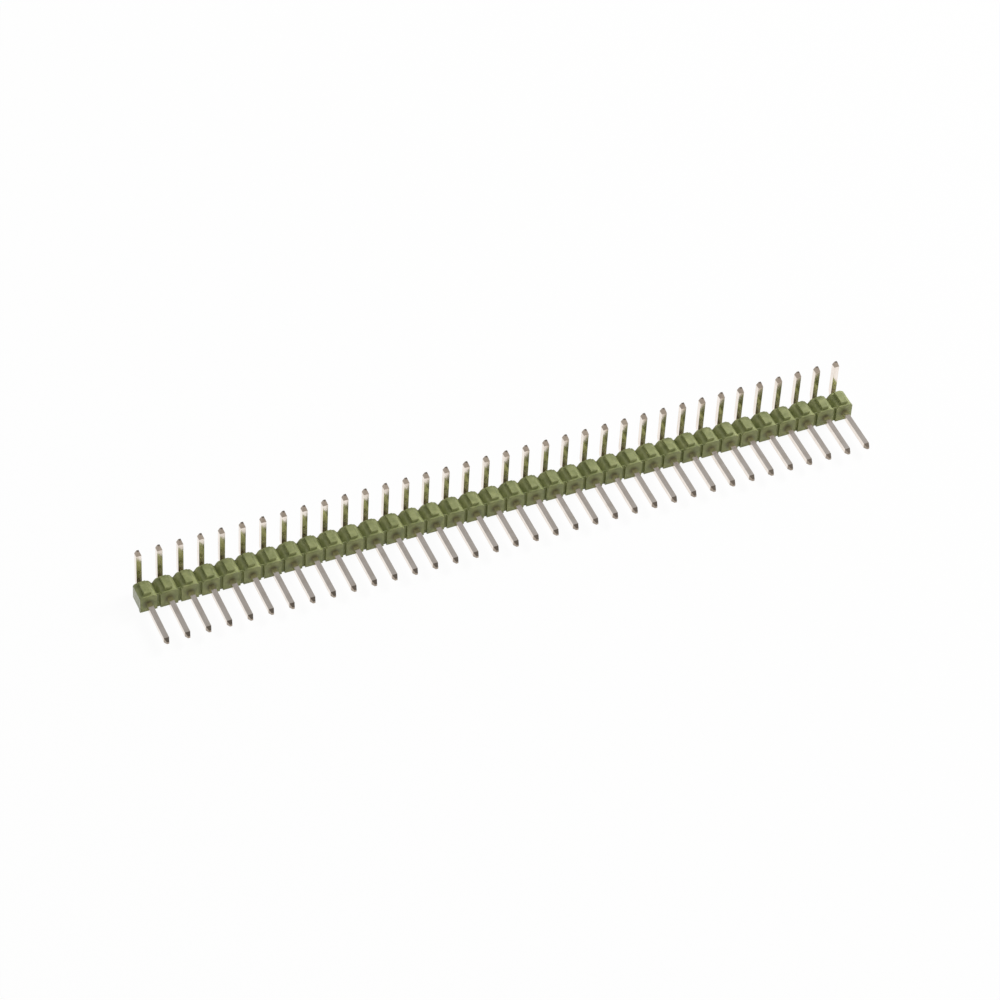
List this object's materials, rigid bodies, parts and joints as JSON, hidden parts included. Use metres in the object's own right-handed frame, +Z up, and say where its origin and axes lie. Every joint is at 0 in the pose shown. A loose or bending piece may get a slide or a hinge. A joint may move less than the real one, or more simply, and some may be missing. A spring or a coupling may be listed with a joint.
{
  "type": "right-angle pin header strip",
  "caption": "Breakaway strip of right-angle square pins held in one notched plastic housing, for joining a circuit board to a socket or jumper wires.",
  "frame": {"origin": "middle of the flat base of the housing, half way along the strip and half way between the front and rear faces", "axes": "+X along the strip, -Y out along the mating posts, +Z up along the tails"},
  "size_m": [0.091, 0.0102, 0.0066],
  "materials": {
    "housing": "moulded, matte olive green",
    "pins": "tin plated, satin"
  },
  "bodies": {
    "root": {"housing": "housing", "pin_01": "pins", "pin_02": "pins", "pin_03": "pins", "pin_04": "pins", "pin_05": "pins", "pin_06": "pins", "pin_07": "pins", "pin_08": "pins", "pin_09": "pins", "pin_10": "pins", "pin_11": "pins", "pin_12": "pins", "pin_13": "pins", "pin_14": "pins", "pin_15": "pins", "pin_16": "pins", "pin_17": "pins", "pin_18": "pins", "pin_19": "pins", "pin_20": "pins", "pin_21": "pins", "pin_22": "pins", "pin_23": "pins", "pin_24": "pins", "pin_25": "pins", "pin_26": "pins", "pin_27": "pins", "pin_28": "pins", "pin_29": "pins", "pin_30": "pins", "pin_31": "pins", "pin_32": "pins", "pin_33": "pins", "pin_34": "pins", "pin_35": "pins", "pin_36": "pins"}
  },
  "joints": []
}
